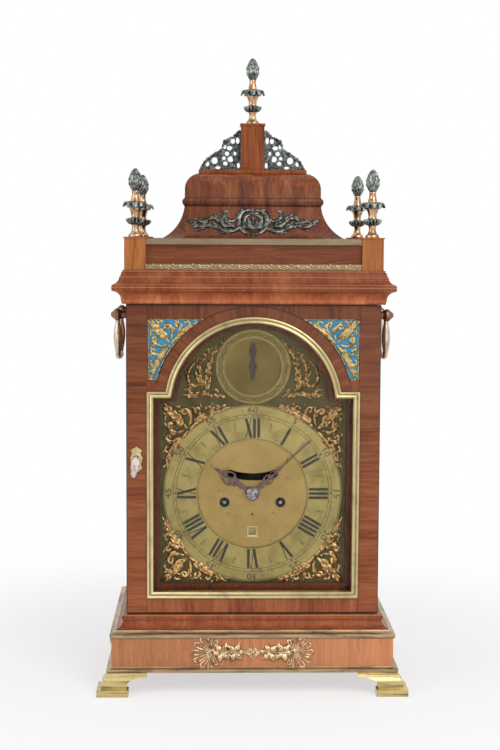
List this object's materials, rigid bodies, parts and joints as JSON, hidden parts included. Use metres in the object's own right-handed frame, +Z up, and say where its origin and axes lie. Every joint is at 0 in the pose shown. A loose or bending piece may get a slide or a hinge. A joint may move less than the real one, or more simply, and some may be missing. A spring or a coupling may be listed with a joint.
{
  "type": "bracket clock",
  "caption": "Table clock in an inverted-bell wooden case with a break-arch dial, hinged glazed doors, side handles and a fusee and verge movement with its short pendulum.",
  "frame": {"origin": "middle of the clock on the surface that its feet stand on", "axes": "+Z up, +X to the right seen from the front, and the front door faces -Y"},
  "size_m": [0.2944, 0.2204, 0.6065],
  "materials": {
    "case_wood": "gloss",
    "plinth_wood": "gloss",
    "post_wood": "gloss",
    "seat_wood": "matte",
    "brass": "polished",
    "gilt": "satin",
    "dark_bronze": "satin",
    "finial_bronze": "satin",
    "bell_metal": "satin",
    "steel": "brushed",
    "blued_steel": "satin",
    "cloth": "matte",
    "glass": "clear"
  },
  "bodies": {
    "case": {"feet": "brass", "plinth": "plinth_wood", "base_bands": "brass", "base_moulding": "case_wood", "case_side_left": "case_wood", "case_side_right": "case_wood", "side_frets": "gilt", "side_cloth": "cloth", "cornice": "case_wood", "dial_mask": "case_wood", "door_pivots": "steel", "corner_posts": "post_wood", "gallery_panels": "case_wood", "gallery_brass": "brass", "bell_top": "case_wood", "top_pedestal": "case_wood", "top_frets": "dark_bronze", "finials": "finial_bronze", "bell_mount": "dark_bronze", "plinth_mounts": "gilt", "handle_plates": "dark_bronze", "dial_plate": "brass", "dial_rings": "brass", "spandrels": "gilt", "movement_front_plate": "brass", "movement_back_plate": "brass", "front_plate_cocks": "brass", "back_plate_cocks": "brass", "hour_bell": "bell_metal", "seat_board": "seat_wood"},
    "front_door": {"front_door_frame": "case_wood", "front_bezel": "brass", "front_glass": "glass", "front_frets": "gilt", "fret_cloth": "cloth", "door_lock": "brass", "escutcheon": "brass"},
    "keyhole_cover": {"keyhole_cover": "steel"},
    "back_door": {"back_door_frame": "case_wood", "back_door_glass": "glass"},
    "handle_right": {"handle_right": "gilt"},
    "handle_left": {"handle_left": "gilt"},
    "centre_arbor": {"centre_arbor": "brass", "minute_hand": "blued_steel"},
    "hour_wheel": {"hour_wheel": "brass", "hour_hand": "blued_steel"},
    "minute_wheel": {"minute_wheel": "brass"},
    "going_fusee": {"going_fusee": "brass"},
    "going_barrel": {"going_barrel": "brass"},
    "contrate_wheel": {"contrate_wheel": "brass"},
    "crown_wheel": {"crown_wheel": "brass"},
    "pendulum": {"pendulum": "steel"},
    "pin_wheel": {"pin_wheel": "brass"},
    "strike_fusee": {"strike_fusee": "brass"},
    "strike_barrel": {"strike_barrel": "brass"},
    "locking_wheel": {"locking_wheel": "brass"},
    "fly": {"fly": "brass"},
    "hammer": {"hammer": "steel"},
    "arch_hand": {"arch_hand": "blued_steel"},
    "date_ring": {"date_ring": "steel"}
  },
  "joints": [
    {"name": "front_door_hinge", "type": "hinge", "parent": "case", "child": "front_door", "pos_m": [0.1175, -0.0795, 0.2215], "axis": [0, 0, 1], "range_deg": [0, 110]},
    {"name": "back_door_hinge", "type": "hinge", "parent": "case", "child": "back_door", "pos_m": [0.1175, 0.0795, 0.2215], "axis": [0, 0, -1], "range_deg": [0, 110]},
    {"name": "keyhole_cover_swing", "type": "hinge", "parent": "front_door", "child": "keyhole_cover", "pos_m": [-0.1105, -0.0849, 0.2262], "axis": [0, 1, 0], "range_deg": [-12, 85]},
    {"name": "right_handle_swing", "type": "hinge", "parent": "case", "child": "handle_right", "pos_m": [0.131, 0, 0.357], "axis": [0, -1, 0], "range_deg": [-6, 110]},
    {"name": "left_handle_swing", "type": "hinge", "parent": "case", "child": "handle_left", "pos_m": [-0.131, 0, 0.357], "axis": [0, 1, 0], "range_deg": [-6, 110]},
    {"name": "minute_turn", "type": "hinge", "parent": "case", "child": "centre_arbor", "pos_m": [0, -0.03, 0.187], "axis": [0, 1, 0], "continuous": true},
    {"name": "hour_turn", "type": "hinge", "parent": "case", "child": "hour_wheel", "pos_m": [0, -0.06, 0.187], "axis": [0, 1, 0], "continuous": true},
    {"name": "minute_wheel_turn", "type": "hinge", "parent": "case", "child": "minute_wheel", "pos_m": [0, -0.05, 0.166], "axis": [0, 1, 0], "continuous": true},
    {"name": "going_fusee_turn", "type": "hinge", "parent": "case", "child": "going_fusee", "pos_m": [0.0269, -0.012, 0.1782], "axis": [0, 1, 0], "continuous": true},
    {"name": "going_barrel_turn", "type": "hinge", "parent": "case", "child": "going_barrel", "pos_m": [0.043, -0.016, 0.143], "axis": [0, 1, 0], "continuous": true},
    {"name": "contrate_turn", "type": "hinge", "parent": "case", "child": "contrate_wheel", "pos_m": [0, -0.014, 0.2143], "axis": [0, 1, 0], "continuous": true},
    {"name": "crown_turn", "type": "hinge", "parent": "case", "child": "crown_wheel", "pos_m": [0, -0.012, 0.245], "axis": [0, 0, 1], "continuous": true},
    {"name": "verge_swing", "type": "hinge", "parent": "case", "child": "pendulum", "pos_m": [0, -0.012, 0.272], "axis": [0, 1, 0], "range_deg": [-15, 15]},
    {"name": "pin_wheel_turn", "type": "hinge", "parent": "case", "child": "pin_wheel", "pos_m": [-0.03483, -0.014, 0.2006], "axis": [0, 1, 0], "continuous": true},
    {"name": "strike_fusee_turn", "type": "hinge", "parent": "case", "child": "strike_fusee", "pos_m": [-0.0269, -0.012, 0.1782], "axis": [0, 1, 0], "continuous": true},
    {"name": "strike_barrel_turn", "type": "hinge", "parent": "case", "child": "strike_barrel", "pos_m": [-0.043, -0.016, 0.143], "axis": [0, 1, 0], "continuous": true},
    {"name": "locking_turn", "type": "hinge", "parent": "case", "child": "locking_wheel", "pos_m": [-0.02791, -0.014, 0.21963], "axis": [0, 1, 0], "continuous": true},
    {"name": "fly_turn", "type": "hinge", "parent": "case", "child": "fly", "pos_m": [-0.03571, -0.014, 0.23314], "axis": [0, 1, 0], "continuous": true},
    {"name": "hammer_swing", "type": "hinge", "parent": "case", "child": "hammer", "pos_m": [-0.048, -0.014, 0.25], "axis": [0, 1, 0], "range_deg": [-8, 0], "stiffness_Nm_per_rad": 0.05, "springref_deg": 11.46},
    {"name": "arch_hand_turn", "type": "hinge", "parent": "case", "child": "arch_hand", "pos_m": [0, -0.064, 0.309], "axis": [0, 1, 0], "range_deg": [-90, 90]},
    {"name": "date_ring_turn", "type": "hinge", "parent": "case", "child": "date_ring", "pos_m": [0, -0.0626, 0.187], "axis": [0, 1, 0], "continuous": true}
  ],
  "couplings": [
    {"joint": "hour_turn", "follows": "minute_turn", "ratio": 0.083333},
    {"joint": "minute_wheel_turn", "follows": "minute_turn", "ratio": -1},
    {"joint": "going_fusee_turn", "follows": "minute_turn", "ratio": -0.083333},
    {"joint": "going_barrel_turn", "follows": "minute_turn", "ratio": -0.060185},
    {"joint": "contrate_turn", "follows": "minute_turn", "ratio": -12},
    {"joint": "crown_turn", "follows": "minute_turn", "ratio": 144},
    {"joint": "strike_fusee_turn", "follows": "pin_wheel_turn", "ratio": -0.1},
    {"joint": "strike_barrel_turn", "follows": "pin_wheel_turn", "ratio": -0.072222},
    {"joint": "locking_turn", "follows": "pin_wheel_turn", "ratio": -8},
    {"joint": "fly_turn", "follows": "pin_wheel_turn", "ratio": 56}
  ]
}
